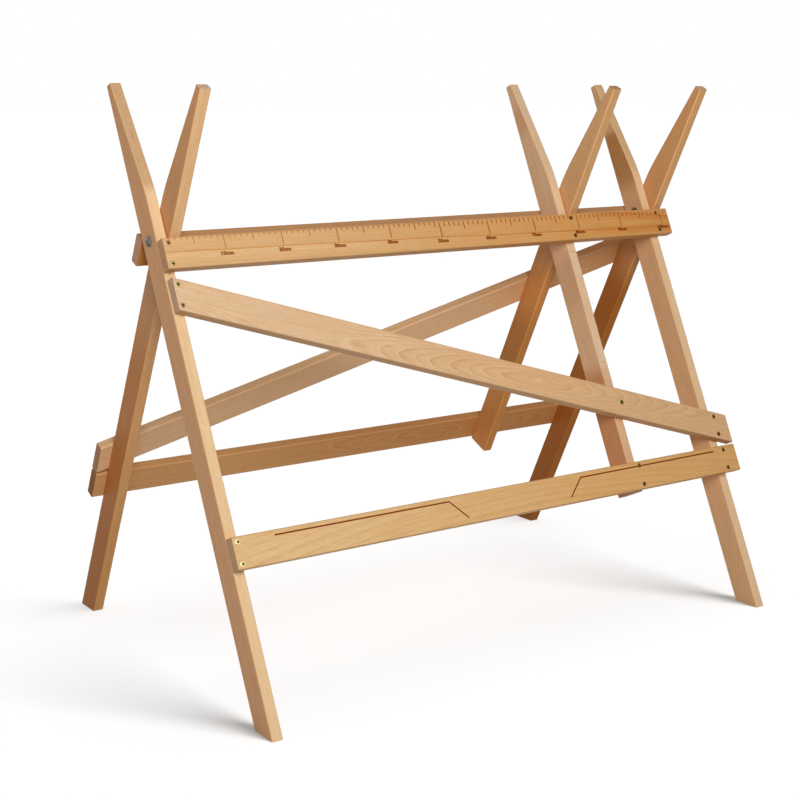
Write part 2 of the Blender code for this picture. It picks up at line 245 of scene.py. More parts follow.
def beech(name, grain, seed, tone, heart, drift, figure, rings=RING_WIDTH, arch=None, swell=None,
          sapwood=(), warming=None, wide=None, sawn=None, shades=(), ends=(1.0, 1.0, 1.0),
          upper_edge_shading=(0.92, 0.82, 0.70), lower_edge_shading=(0.62, 0.58, 0.52), marks=()):
    """Beech cut from a tree whose heart runs beside the board, x along the grain.

    The rings are cylinders about the heart, so faces, edges and ends show one and the same tree,
    and figure says how clearly. With arch = (place, reach, rise, right) the heart sinks away on
    both sides of a place along the board, and the face shows nested arches, to the right of it
    only with that share of their strength. With swell = (place, level, length, height, rise) the
    rings close about a second place. Each sapwood = (level, slope, width, spread) is a slanting
    line along the board, dark above for that width, which gains the spread towards the right, and
    pale below. Warming = (share, start, end) turns the board more orange along its length.

    The others tint the wide faces, partly as their own tone and partly as painted light and shade,
    a slanting saw cut, as painted shade, and shaded stretches of a leg's near sides, as painted
    shade. The end grain's tint is partly its own tone and partly painted light and shade, and the
    rounded edges that face up and down take a painted highlight or painted shade. Faces that look
    down are darkened as painted shade. Marks are small dark spots, each with its place and its size.
    """
    material, shader, start = new_material(name)
    tone = linear(*tone)
    shift = grain.inverted().translation
    turn = grain.inverted().to_euler()
    coords = start.node("ShaderNodeTexCoord", out="Object")
    point = start.node("ShaderNodeMapping", {"vector_type": "POINT"},
                       {"Vector": coords, "Location": shift, "Rotation": turn})
    facing = start.node("ShaderNodeMapping", {"vector_type": "VECTOR"},
                        {"Vector": coords.out("Normal"), "Rotation": turn})
    offset = (seed * 3.7, seed * 5.3, seed * 7.9)
    along = point.parts()
    across = along.out("Y")
    through = along.out("Z")
    normal_x = facing.parts()
    end = (normal_x * normal_x).between(0.35, 0.75)
    normal_z = normal_x.out("Z")
    edge = (4.0 * (normal_x.out("Y") * normal_z) ** 2.0).between(0.10, 0.70)
    upward = coords.out("Normal").parts().out("Z")

    def grained(length, girth, detail=2.0, roughness=0.5):
        """Noise that is drawn out along the grain."""
        return point.stretched((length, girth, girth), offset).noise(detail, roughness)

    warp = grained(4.0, 30.0) - 0.5
    ripple = grained(45.0, 260.0, detail=1.0) - 0.5
    side = across - heart[0] - along * drift
    depth = through + heart[1]
    if arch:
        place, reach, rise, right = arch
        away = start.maths("ABSOLUTE", along - place)
        depth = depth + rise * away.between(0.0, reach)
        figure = figure - 0.7 * figure * away.between(0.8 * reach, reach)
        figure = figure - (1.0 - right) * (figure * along.between(place - 0.15, place))
    if swell:
        place, level, length, height, rise = swell
        spread = (((along - place) / length) ** 2.0 + ((across - level) / height) ** 2.0) ** 0.5
        depth = depth - rise * (1.0 - spread.between(0.0, 1.0))
        figure = figure + 0.5 * (1.0 - spread.between(0.8, 1.1))
    radius = (side * side + depth * depth) ** 0.5 + 0.004 * warp + 0.0004 * ripple
    radius = radius + 0.004 * radius.row_noise(90.0)
    ring = start.maths("FRACT", radius / rings)
    late = ring.between(0.40, 0.93) * (1.0 - ring.between(0.95, 0.99))
    late = late * (0.45 + 0.75 * grained(24.0, 110.0).between(0.3, 0.7))
    early = 1.0 - ring.between(0.05, 0.14)
    band = radius.row_noise(170.0).between(0.3, 0.7)

    fibre = grained(26.0, 1250.0, detail=3.0, roughness=0.6)
    streak = grained(7.0, 300.0)
    blotch = grained(5.0, 28.0).between(0.5, 0.75)
    cells = start.node("ShaderNodeTexVoronoi", {"feature": "F1"},
                       {"Vector": point.stretched((340.0, 1750.0, 1750.0), offset), "Scale": 1.0})
    kept = start.node("ShaderNodeSeparateColor", sockets={0: cells.out("Color")}).between(0.35, 0.6)
    fleck = (1.0 - cells.between(0.16, 0.34)) * kept

    dark = 0.34 + figure * (0.56 * late + 0.24 * band - 0.34) + 0.60 * (streak - 0.5)
    colour = dark.mixed(tinted(tone, 1.06, 1.07, 1.08), tinted(tone, 0.84, 0.75, 0.64))
    colour = (0.8 * figure * early).mixed(colour, tinted(tone, 1.14, 1.18, 1.25))
    colour = (0.40 * blotch).mixed(colour, tinted(tone, 0.95, 0.84, 0.68))
    dash = grained(75.0, 420.0)
    colour = (0.45 * dash.between(0.52, 0.72)).mixed(colour, tinted(tone, 0.93, 0.80, 0.64))
    colour = (0.35 - 0.35 * dash.between(0.28, 0.48)).mixed(colour, tinted(tone, 1.07, 1.10, 1.14))
    colour = (0.50 * fleck).mixed(colour, tinted(tone, 0.52, 0.40, 0.30))
    colour = colour.times(0.84 + 0.34 * fibre)
    for level, fall, width, spread in sapwood:
        under = level + along * fall - across - 0.006 * warp
        below_line = under.between(-0.0009, 0.0009) * (1.0 - under.between(0.004, 0.013))
        pale = 0.7 - 0.5 * along.between(-0.20, 0.10)
        colour = colour.times((1.10, 1.16, 1.26, 1.0), pale * below_line)
        red = 0.85 * along.between(0.24, 0.40)
        colour = colour.times((0.90, 0.72, 0.50, 1.0), red * below_line)
        above = (under / (width + spread * along.between(0.25, 0.5))).between(-1.0, -0.1)
        rim = above * (1.0 - under.between(-0.0006, 0.0008))
        colour = colour.times((0.90, 0.74, 0.55, 1.0), 0.8 * rim)
        core = under.between(-0.0016, -0.0006) * (1.0 - under.between(0.0, 0.0010))
        core = core * (0.45 + 0.5 * along.between(0.15, 0.35))
        colour = colour.times((0.88, 0.66, 0.40, 1.0), core)
    if warming:
        share, cool, warm = warming
        colour = colour.times((0.97, 0.78, 0.52, 1.0), share * along.between(cool, warm))
    broad = (normal_z * normal_z).between(0.5, 0.9)
    # The wide faces' tint is partly their own tone and partly painted light and shade, and the sawn
    # taper's tint is painted shade
    if wide:
        colour = colour.times((*wide, 1.0), broad)
    if sawn:
        colour = colour.times((*sawn, 1.0), normal_x.between(0.06, 0.15))
    # Painted shade: faces that look down are darkened
    colour = colour.times((0.84, 0.72, 0.57, 1.0), (0.0 - upward).between(0.6, 0.85))
    # Painted highlight and shade on the rounded edges: one tint where they face up, another where
    # they face down
    rounded = upward.between(-0.3, 0.3).mixed(tinted(tone, *lower_edge_shading), tinted(tone, *upper_edge_shading))
    colour = (0.8 * edge).mixed(colour, rounded)
    # Painted shade on the stretches of a leg's near sides that other boards shade
    for tint, narrow, begin, full, fade, gone in shades:
        away = start.maths("MAXIMUM", upward.out("X"), upward.out("Y")).between(0.1, 0.6)
        stretch = along.between(begin, full) - along.between(fade, gone)
        shade = stretch * (1.0 - away) * (narrow + (1.0 - narrow) * broad)
        colour = colour.times((*tint, 1.0), shade)
    for place, size in marks:
        scale = [1 / reach for reach in size]
        from_mark = point.stretched(scale, [-a * b for a, b in zip(place, scale)])
        span = start.node("ShaderNodeVectorMath", {"operation": "LENGTH"}, {0: from_mark},
                          out="Value")
        colour = (0.6 - 0.6 * span.between(0.6, 1.0)).mixed(colour, tinted(tone, 0.34, 0.22, 0.16))
    saw = point.stretched((40.0, 90.0, 800.0), offset).noise(2.0)
    mottle = grained(20.0, 320.0).between(0.35, 0.65)
    # The end grain's tint is partly its own tone and partly painted light and shade
    end_tone = [a * b for a, b in zip(tone, ends)]
    end_colour = (0.5 * saw + 0.5 * mottle).mixed(tinted(end_tone, 0.72, 0.64, 0.70),
                                                  tinted(end_tone, 1.17, 1.10, 1.22))
    colour = (0.85 * end).mixed(colour, end_colour)
    feed(shader, "Base Color", colour)
    feed(shader, "Roughness", 0.52 + 0.16 * fibre + 0.2 * end)
    shader.inputs["Specular IOR Level"].default_value = 0.16
    height = 0.6 * fibre - 0.5 * fleck - 0.3 * late + 0.8 * end * saw
    bump = start.node("ShaderNodeBump",
                      sockets={"Strength": 0.22, "Distance": 0.0004, "Height": height})
    feed(shader, "Normal", bump)
    return material


def add_object(name, data, material=None):
    """An object at the origin, for a mesh that holds its own place or for other data."""
    piece = bpy.data.objects.new(name, data)
    bpy.context.scene.collection.objects.link(piece)
    if material:
        data.materials.append(material)
    return piece


def close_mesh(name, bm):
    """Turn a closed bmesh into a smooth-shaded mesh whose faces point out."""
    bmesh.ops.recalc_face_normals(bm, faces=bm.faces)
    mesh = bpy.data.meshes.new(name)
    bm.to_mesh(mesh)
    bm.free()
    mesh.shade_smooth()
    mesh.set_sharp_from_angle(angle=SHARP_ANGLE)
    return mesh


def frame_span(side, node):
    """Where a node begins and ends along its own frame's x axis."""
    ends = [(frame_place[side].inverted() @ corner).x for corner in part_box(node)]
    return min(ends), max(ends)


def board_mesh(name, outline, thickness, sawn):
    """Push an outline to a board, round its long edges, and ease the saw cuts listed in sawn."""
    bm = bmesh.new()
    near = [bm.verts.new(point) for point in outline]
    far = [bm.verts.new(point + thickness) for point in outline]
    bm.faces.new(near)
    bm.faces.new(far)
    long_edges = []
    cut_normals = []
    for index in range(len(outline)):
        after = (index + 1) % len(outline)
        side = bm.faces.new((near[index], near[after], far[after], far[index]))
        if index in sawn:
            side.normal_update()
            cut_normals.append(side.normal.copy())
        else:
            long_edges.append(bm.edges.get((near[index], near[after])))
            long_edges.append(bm.edges.get((far[index], far[after])))
    bmesh.ops.recalc_face_normals(bm, faces=bm.faces)
    bmesh.ops.bevel(bm, geom=long_edges, offset=EDGE_ROUND, segments=EDGE_STEPS, profile=0.5,
                    affect="EDGES")
    bm.normal_update()
    rims = set()
    for face in bm.faces:
        if any(abs(face.normal.dot(normal)) > SAME_WAY for normal in cut_normals):
            rims.update(face.edges)
    bmesh.ops.bevel(bm, geom=list(rims), offset=SAWN_EASE, segments=2, profile=0.5, affect="EDGES")
    return close_mesh(name, bm)


def leg_outline(left, is_long):
    """A leg's left side, from its foot round its back and tip to the soft knee of its taper."""
    foot_front = foot_back = -SHORT_LEG_BELOW
    if is_long:
        foot_front = -LEG_BELOW - LEG_HALF_DEPTH * math.tan(lean)
        foot_back = -LEG_BELOW + LEG_HALF_DEPTH * math.tan(lean)
    knee = Vector((left, -LEG_HALF_DEPTH, TAPER_START))
    tip = Vector((left, LEG_HALF_DEPTH - TIP_DEPTH, LEG_ABOVE))
    above = knee + KNEE_REACH * (tip - knee).normalized()
    below = knee - Vector((0, 0, KNEE_REACH))
    outline = [
        Vector((left, -LEG_HALF_DEPTH, foot_front)),
        Vector((left, LEG_HALF_DEPTH, foot_back)),
        Vector((left, LEG_HALF_DEPTH, LEG_ABOVE)),
        tip,
    ]
    for step in range(KNEE_STEPS + 1):
        share = step / KNEE_STEPS
        outline.append(above.lerp(knee, share).lerp(knee.lerp(below, share), share))
    return outline


def finish_board(node, mesh, side, material):
    """A board in its place, riding on its frame and standing for its CAD node."""
    mesh.transform(frame_place[side])
    board = add_object(f"{node}_board", mesh, material)
    board.modifiers.new("flat_faces", "WEIGHTED_NORMAL").keep_sharp = True
    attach(board, f"{side}_frame")
    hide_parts(node)
    return board


boards = {}
for seed, (node, leg_wood) in enumerate(LEG_WOODS.items(), 1):
    side = node.split("_")[0]
    left, right = frame_span(side, node)
    outline = leg_outline(left, not node.endswith("middle"))
    mesh = board_mesh(node, outline, Vector((right - left, 0, 0)), sawn=(0, 2))
    up_the_leg = Matrix(((0, 0, -1, (left + right) / 2), (0, 1, 0, 0), (1, 0, 0, 0), (0, 0, 0, 1)))
    wood = beech(f"beech_{node}", frame_place[side] @ up_the_leg, seed,
                 drift=LEG_DRIFT * (-1) ** seed, figure=LEG_FIGURE, **FRAME_LEGS[side], **leg_wood)
    boards[node] = finish_board(node, mesh, side, wood)

# Rails and braces: six beech boards of 18 by 48 mm on the outer faces of the legs. The top rail
# stops the fold, the lower one ties the legs, and the brace slopes between them, its ends sawn
# in line with the legs.
RAIL_THICK = 0.018
RAIL_HEIGHT = 0.048
RAIL_BACK = 0.0228
RAIL_FACE = RAIL_BACK + RAIL_THICK
TOP_RAIL_TOP = -0.00983
BRACE_TOP = -0.06983
LOWER_RAIL_TOP = -0.456
BRACE_SLOPE = math.radians(18.17)
# Turns what stands up along z so that it points out of a frame's face
OUTWARD = Matrix.Rotation(math.pi / 2, 4, "X")
# The rear boards' tones are darker partly as painted shade, and the rear top rail's warming darkens
# its left end as painted shade
RAIL_WOODS = {
    "ruler_rail": dict(
        tone=(217, 175, 124), heart=(-0.041, 0.030), drift=-0.012, figure=0.55,
        sapwood=((-0.0048, -0.0110, 0.004, 0.008), (0.052, -0.0857, 0.006, 0.0)),
        warming=(1.0, -0.40, 0.35), ends=(1.06, 1.00, 1.06)),
    "front_brace": dict(
        tone=(222, 186, 147), heart=(-0.003, 0.017), drift=0.044, figure=1.1,
        arch=(0.117, 0.40, 0.023, 0.7), swell=(-0.57, -0.024, 0.19, 0.036, 0.011),
        warming=(0.42, -0.4, 0.1), ends=(1.14, 1.12, 1.12)),
    "front_lower_rail": dict(
        tone=(222, 184, 133), heart=(-0.085, 0.045), drift=0.008, figure=0.6, rings=0.0085,
        arch=(0.03, 0.9, 0.085, 1.0), warming=(0.70, -0.45, 0.35), upper_edge_shading=(0.86, 0.70, 0.50)),
    "rear_top_rail": dict(
        tone=(195, 145, 98), heart=(0.048, 0.038), drift=0.010, figure=0.6,
        warming=(1.0, 0.455, 0.49), ends=(1.45, 1.75, 2.35), upper_edge_shading=EDGE_HIGHLIGHT),
    "rear_brace": dict(
        tone=(224, 183, 141), heart=(-0.072, 0.015), drift=0.004, figure=0.6,
        warming=(0.7, -0.1, -0.5), ends=(0.74, 0.63, 0.55), upper_edge_shading=EDGE_HIGHLIGHT),
    "rear_lower_rail": dict(
        tone=(207, 157, 105), heart=(0.006, 0.030), drift=0.008, figure=1.0,
        arch=(-0.2, 0.30, 0.016, 1.0), warming=(0.65, 0.4, -0.3), ends=(0.58, 0.43, 0.28),
        upper_edge_shading=EDGE_HIGHLIGHT),
}
# Each board's top edge at its left end, and its slope, which both frames share
RAIL_PLACES = ((TOP_RAIL_TOP, 0.0), (BRACE_TOP, BRACE_SLOPE), (LOWER_RAIL_TOP, 0.0))
RAILS = dict(zip(RAIL_WOODS, RAIL_PLACES * 2))

for seed, (node, (top, slope)) in enumerate(RAILS.items(), 11):
    side = "rear" if node.startswith("rear") else "front"
    left, right = frame_span(side, node)
    fall = (right - left) * math.tan(slope)
    height = RAIL_HEIGHT / math.cos(slope)
    outline = (
        Vector((left, -RAIL_BACK, top)),
        Vector((left, -RAIL_BACK, top - height)),
        Vector((right, -RAIL_BACK, top - height - fall)),
        Vector((right, -RAIL_BACK, top - fall)),
    )
    mesh = board_mesh(node, outline, Vector((0, -RAIL_THICK, 0)), sawn=(0, 2))
    middle = Vector(((left + right) / 2, -RAIL_BACK - RAIL_THICK / 2, top - (height + fall) / 2))
    along_the_rail = Matrix.Translation(middle) @ Matrix.Rotation(slope, 4, "Y") @ OUTWARD
    wood = beech(f"beech_{node}", frame_place[side] @ along_the_rail, seed, **RAIL_WOODS[node])
    boards[node] = finish_board(node, mesh, side, wood)

# Centimetre scale: marks burnt into the face of the ruler rail, one to each centimetre with longer
# ones at five and ten. It was burnt in two passes: the marks of the first run off the rail's top
# edge, and those of the second lie lower and drop towards the right.
TICK_WIDTH = 0.0019
TICK_DEPTH = 0.0006
TICK_ROWS = 15
# Each pass: the number of its first mark and how many there are, where that mark stands along the
# rail and its top under the rail's edge, the step to the next and its fall, the length that each
# mark gains on the one before, how far the burn swells out of the face, and the lengths
SCALE_PASSES = (
    dict(first=1, count=49, along=0.0103, drop=0.0001, step=0.0100, fall=0.0, gain=0.00002,
         proud=0.00004, lengths={"Short": 0.0044, "Middle": 0.0103, "Long": 0.0216}),
    dict(first=49, count=53, along=0.4903, drop=0.0018, step=0.00993, fall=0.00004, gain=0.0,
         proud=0.00005, lengths={"Short": 0.0068, "Middle": 0.0127, "Long": 0.0248}),
)


def burnt_wood(name, deep, thin, faint=None):
    """Scorched beech: a deep brown, and another where the burn is thin.

    A faint colour is where the burn was lighter, towards the ends and most at the left.
    """
    material, shader, start = new_material(name)
    coords = start.node("ShaderNodeTexCoord", out="Object")
    burn = coords.stretched((900.0, 900.0, 900.0)).noise(2.0).between(0.3, 0.75)
    colour = burn.mixed(linear(*deep), linear(*thin))
    if faint:
        spot = coords.parts()
        light = 0.85 - 0.85 * spot.between(-0.45, 0.0) + 0.12 * spot.between(0.20, 0.35)
        colour = light.mixed(colour, linear(*faint))
    feed(shader, "Base Color", colour)
    feed(shader, "Roughness", 0.62 + 0.25 * burn)
    shader.inputs["Specular IOR Level"].default_value = 0.08
    return material


def new_node_tree(name, **sizes):
    """A Geometry Nodes tree with an input for each size, listed by kind, and their sockets."""
    tree = bpy.data.node_groups.new(name, "GeometryNodeTree")
    tree.interface.new_socket("Geometry", in_out="INPUT", socket_type="NodeSocketGeometry")
    for kind, names in sizes.items():
        for size in names:
            tree.interface.new_socket(size, in_out="INPUT", socket_type=f"NodeSocket{kind}")
    tree.interface.new_socket("Geometry", in_out="OUTPUT", socket_type="NodeSocketGeometry")
    return tree, Socket(tree).node("NodeGroupInput", out="Geometry")


def end_tree(geometry, material):
    """Make the instances real, give them their material, and send them out of the tree."""
    real = geometry.node("GeometryNodeRealizeInstances", sockets={"Geometry": geometry})
    painted = real.node("GeometryNodeSetMaterial", sockets={"Geometry": real, "Material": material})
    group_out = geometry.tree.nodes.new("NodeGroupOutput")
    geometry.tree.links.new(painted.socket, group_out.inputs["Geometry"])


def evaluated_mesh(piece):
    """An object's shape as its modifiers leave it, as a plain mesh."""
    depsgraph = bpy.context.evaluated_depsgraph_get()
    return bpy.data.meshes.new_from_object(piece.evaluated_get(depsgraph))


def grow(tree, mesh, values):
    """Run a tree on a mesh with its inputs set, and return the result as a plain mesh."""
    carrier = add_object(tree.name, mesh)
    modifier = carrier.modifiers.new(tree.name, "NODES")
    modifier.node_group = tree
    for item in tree.interface.items_tree:
        if item.in_out == "INPUT" and item.name in values:
            modifier[item.identifier] = values[item.name]
    result = evaluated_mesh(carrier)
    bpy.data.objects.remove(carrier)
    return result


burnt = burnt_wood("burnt_scale", deep=(152, 68, 8), thin=(182, 100, 26), faint=(200, 142, 86))
rail_left = frame_span("front", "ruler_rail")[0]
tree, group = new_node_tree(
    "scale_ticks", Vector=("First", "Step"), Int=("Count", "Number", "Rows"),
    Float=("Width", "Depth", "Short", "Middle", "Long", "Gain"))
line = group.node("GeometryNodeMeshLine", {"mode": "OFFSET", "count_mode": "TOTAL"},
                  {"Count": group.out("Count"), "Start Location": group.out("First"),
                   "Offset": group.out("Step")})
index = group.node("GeometryNodeInputIndex")
number = index + group.out("Number")
is_ten = 1.0 - group.maths("MODULO", number, 10.0).between(0.1, 0.2)
is_five = 1.0 - group.maths("MODULO", number, 5.0).between(0.1, 0.2)
length = group.out("Short") + is_five * (group.out("Middle") - group.out("Short"))
length = length + is_ten * (group.out("Long") - group.out("Middle")) + index * group.out("Gain")
section = group.vector(group.out("Width"), group.out("Depth"), 1.0)
bar = group.node("GeometryNodeMeshCube",
                 sockets={"Size": section, "Vertices Z": group.out("Rows")})
place = group.node("GeometryNodeInputPosition").parts()
down = 0.5 - place.out("Z")
close_above = group.vector(place, place.out("Y") + 0.5 * group.out("Depth"), 0.0 - down * down)
bar = group.node("GeometryNodeSetPosition", sockets={"Geometry": bar, "Position": close_above})
stretch = group.vector(1.0, 1.0, length)
ticks = group.node("GeometryNodeInstanceOnPoints",
                   sockets={"Points": line, "Instance": bar, "Scale": stretch})
end_tree(ticks, burnt)
both = bmesh.new()
for run in SCALE_PASSES:
    mesh = grow(tree, bpy.data.meshes.new("scale_line"), {
        "First": Vector((rail_left + run["along"], -RAIL_FACE - run["proud"],
                         TOP_RAIL_TOP - run["drop"])),
        "Step": Vector((run["step"], 0, -run["fall"])), "Count": run["count"],
        "Number": run["first"], "Rows": TICK_ROWS, "Width": TICK_WIDTH, "Depth": TICK_DEPTH,
        "Gain": run["gain"], **run["lengths"]})
    both.from_mesh(mesh)
for vertex in both.verts:
    over = max(0.0, EDGE_ROUND + vertex.co.z - TOP_RAIL_TOP)
    vertex.co.y += EDGE_ROUND - math.sqrt(EDGE_ROUND ** 2 - over ** 2)
mesh = bpy.data.meshes.new("scale_ticks")
both.to_mesh(mesh)
both.free()
mesh.transform(frame_place["front"])
scale_ticks = add_object("scale_ticks", mesh, burnt)
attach(scale_ticks, "front_frame")

# Scale numbers: the tens of centimetres, burnt in small sans letters under their long marks.
LABEL_SIZE = 0.0080
LABEL_BOLD = 0.0005
LABEL_CURVE_STEPS = 3
LABEL_WIDTH = 0.0215
THREE_DIGITS = 1.25
LABEL_THICK = 0.0003
# How far the numbers of each pass lie under the top edge of the rail
LABEL_DROPS = (0.0297, 0.0334)
LABEL_SLOPE = 0.0028


def label_mesh(words, width):
    """A label as a flat solid, its letters lying on x with their faces towards -y."""
    text = bpy.data.curves.new(words, "FONT")
    text.body = words
    text.align_x = "CENTER"
    text.align_y = "CENTER"
    text.size = LABEL_SIZE
    text.extrude = LABEL_THICK / 2
    text.offset = LABEL_BOLD
    text.resolution_u = LABEL_CURVE_STEPS
    carrier = add_object(words, text)
    mesh = evaluated_mesh(carrier)
    bpy.data.objects.remove(carrier)
    reach = [vertex.co.x for vertex in mesh.vertices]
    mesh.transform(Matrix.Diagonal((width / (max(reach) - min(reach)), 1, 1, 1)))
    mesh.transform(OUTWARD)
    return mesh


labels = bmesh.new()
for tens in range(10, 101, 10):
    mesh = label_mesh(f"{tens}cm", LABEL_WIDTH * (1.0 if tens < 100 else THREE_DIGITS))
    late = tens > SCALE_PASSES[0]["count"]
    run = SCALE_PASSES[late]
    reach = (tens - run["first"]) * run["step"]
    drop = LABEL_DROPS[late] + (LABEL_SLOPE * reach if late else 0.0)
    place = Vector((rail_left + run["along"] + reach, LABEL_THICK / 2 - RAIL_FACE - run["proud"],
                    TOP_RAIL_TOP - drop))
    mesh.transform(Matrix.Translation(place) @ Matrix.Rotation(LABEL_SLOPE, 4, "Y"))
    labels.from_mesh(mesh)
mesh = bpy.data.meshes.new("scale_numbers")
labels.to_mesh(mesh)
labels.free()
mesh.transform(frame_place["front"])
burnt = burnt_wood("burnt_numbers", deep=(116, 44, 2), thin=(158, 76, 8), faint=(152, 86, 30))
scale_numbers = add_object("scale_numbers", mesh, burnt)
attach(scale_numbers, "front_frame")

# Cut line: a shallow groove along the front lower rail, milled and scorched, that turns down
# on both sides of the plain middle. Its floor is a burnt strip in the wood of the rail.
GROOVE_WIDTH = 0.0024
GROOVE_DEPTH = 0.0006
STRIP_PLAY = 0.00004
# How deep the burnt strip begins and ends, in depths of the groove
STRIP_DEPTHS = (0.5, 1.3)
# Points of both lines: from the rail's left end, and down from its top edge
GROOVE_LINES = (
    ((0.0685, 0.0080), (0.3806, 0.0080), (0.4109, 0.0384)),
    ((0.6214, 0.0382), (0.6514, 0.0090), (0.9641, 0.0080)),
)


def skin(bm, rings):
    """Join a row of rings with bands of faces."""
    for lower, upper in zip(rings, rings[1:]):
        for step, start in enumerate(lower):
            after = (step + 1) % len(lower)
            bm.faces.new((start, lower[after], upper[after], upper[step]))


def strip_mesh(name, lines, width, near, far):
    """Bars of one width along lines of (x, z) points, from depth near to depth far."""
    bm = bmesh.new()
    for points in lines:
        steps = [(Vector(b) - Vector(a)).normalized() for a, b in zip(points, points[1:])]
        rings = []
        for index, point in enumerate(points):
            before = steps[max(index - 1, 0)]
            after = steps[min(index, len(steps) - 1)]
            mitre = (before + after).normalized()
            aside = Vector((-mitre.y, mitre.x)) * width / 2 / mitre.dot(after)
            ring = []
            for sign, depth in ((-1, near), (1, near), (1, far), (-1, far)):
                x, z = Vector(point) + sign * aside
                ring.append(bm.verts.new((x, depth, z)))
            rings.append(ring)
        bm.faces.new(rings[0])
        bm.faces.new(rings[-1])
        skin(bm, rings)
    return close_mesh(name, bm)


def cut_away(piece, tool_mesh):
    """Cut a tool's shape out of a piece and keep the result as its plain mesh."""
    tool = add_object("cutter", tool_mesh)
    cut = piece.modifiers.new("cut", "BOOLEAN")
    cut.operation = "DIFFERENCE"
    cut.solver = "EXACT"
    cut.object = tool
    flat = piece.modifiers["flat_faces"]
    flat.show_viewport = False
    mesh = evaluated_mesh(piece)
    flat.show_viewport = True
    piece.modifiers.remove(cut)
    bpy.data.objects.remove(tool)
    mesh.set_sharp_from_angle(angle=SHARP_ANGLE)
    piece.data = mesh


lines = []
for points in GROOVE_LINES:
    lines.append([(rail_left + distance, LOWER_RAIL_TOP - drop) for distance, drop in points])
groove = strip_mesh("groove", lines, GROOVE_WIDTH, -RAIL_FACE - GROOVE_DEPTH,
                    -RAIL_FACE + GROOVE_DEPTH)
groove.transform(frame_place["front"])
cut_away(boards["front_lower_rail"], groove)
depths = [-RAIL_FACE + share * GROOVE_DEPTH for share in STRIP_DEPTHS]
strip = strip_mesh("cut_line", lines, GROOVE_WIDTH - STRIP_PLAY, *depths)
strip.transform(frame_place["front"])
burnt = burnt_wood("burnt_groove", deep=(118, 48, 2), thin=(154, 72, 6))
cut_line = add_object("cut_line", strip, burnt)
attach(cut_line, "front_frame")

# Screws: countersunk wood screws in yellow zinc with a cross recess, driven through each board
# into the legs and drawn level with the face. Every one has stopped at a turn of its own.
SCREW_HEAD = 0.0040
SCREW_SHANK = 0.0020
SCREW_TIP = 0.0004
SCREW_RIM = 0.0001
SCREW_LENGTH = 0.045
SCREW_SINK = 0.0002
SCREW_OFFSET = 0.016
SCREW_PLAY = 0.0003
SCREW_SIDES = 24
HOLE_REACH = 0.002
RECESS_REACH = 0.0024
RECESS_HALF = 0.0007
RECESS_DEPTH = 0.0018
RECESS_DRAFT = 0.6
# Shares of the recess: where an arm's end and its flank reach, and the round between two arms
RECESS_TIP = 0.94
RECESS_FLANK = 0.6
RECESS_FILLET = 1.25
MOUTH_DARKENING = 0.4
LEG_SIDES = ("left", "middle", "right")


def add_ring(bm, radius, height, sides):
    """A ring of vertices about z, with one radius or with a rule for it at each angle."""
    ring = []
    for step in range(sides):
        angle = 2 * math.pi * step / sides
        reach = radius(angle) if callable(radius) else radius
        ring.append(bm.verts.new((reach * math.cos(angle), reach * math.sin(angle), height)))
    return ring


def add_cross(bm, size, height):
    """The outline of the cross recess, in step with the 24 points of the head's rim."""
    reach = RECESS_REACH * size
    half = RECESS_HALF * size
    tip = RECESS_TIP * reach
    flank = RECESS_FLANK * reach
    fillet = RECESS_FILLET * half
    quarter = ((reach, 0.0), (tip, half), (flank, half), (fillet, fillet), (half, flank), (half, tip))
    ring = []
    for turn in range(4):
        rotation = Matrix.Rotation(turn * math.pi / 2, 3, "Z")
        for x, y in quarter:
            ring.append(bm.verts.new(rotation @ Vector((x, y, height))))
    return ring


def screw_mesh(name):
    """A screw along -z, with the face of its head at z = 0 and a rim that is slightly broken."""
    levels = (
        (SCREW_TIP, -SCREW_LENGTH),
        (SCREW_SHANK, 2 * SCREW_SHANK - SCREW_LENGTH),
        (SCREW_SHANK, SCREW_SHANK - SCREW_HEAD),
        (SCREW_HEAD, -3 * SCREW_RIM),
        (SCREW_HEAD - SCREW_RIM, -SCREW_RIM),
        (SCREW_HEAD - 4 * SCREW_RIM, 0.0),
    )
    bm = bmesh.new()
    dirt = bm.verts.layers.float.new("dirt")
    rings = [add_ring(bm, radius, height, SCREW_SIDES) for radius, height in levels]
    mouth = add_cross(bm, 1.0, -SCREW_RIM / 2)
    floor = add_cross(bm, RECESS_DRAFT, -RECESS_DEPTH)
    for vertex in mouth:
        vertex[dirt] = MOUTH_DARKENING
    for vertex in floor:
        vertex[dirt] = 1.0
    skin(bm, [*rings, mouth, floor])
    bm.faces.new(rings[0])
    bm.faces.new(floor)
    return close_mesh(name, bm)


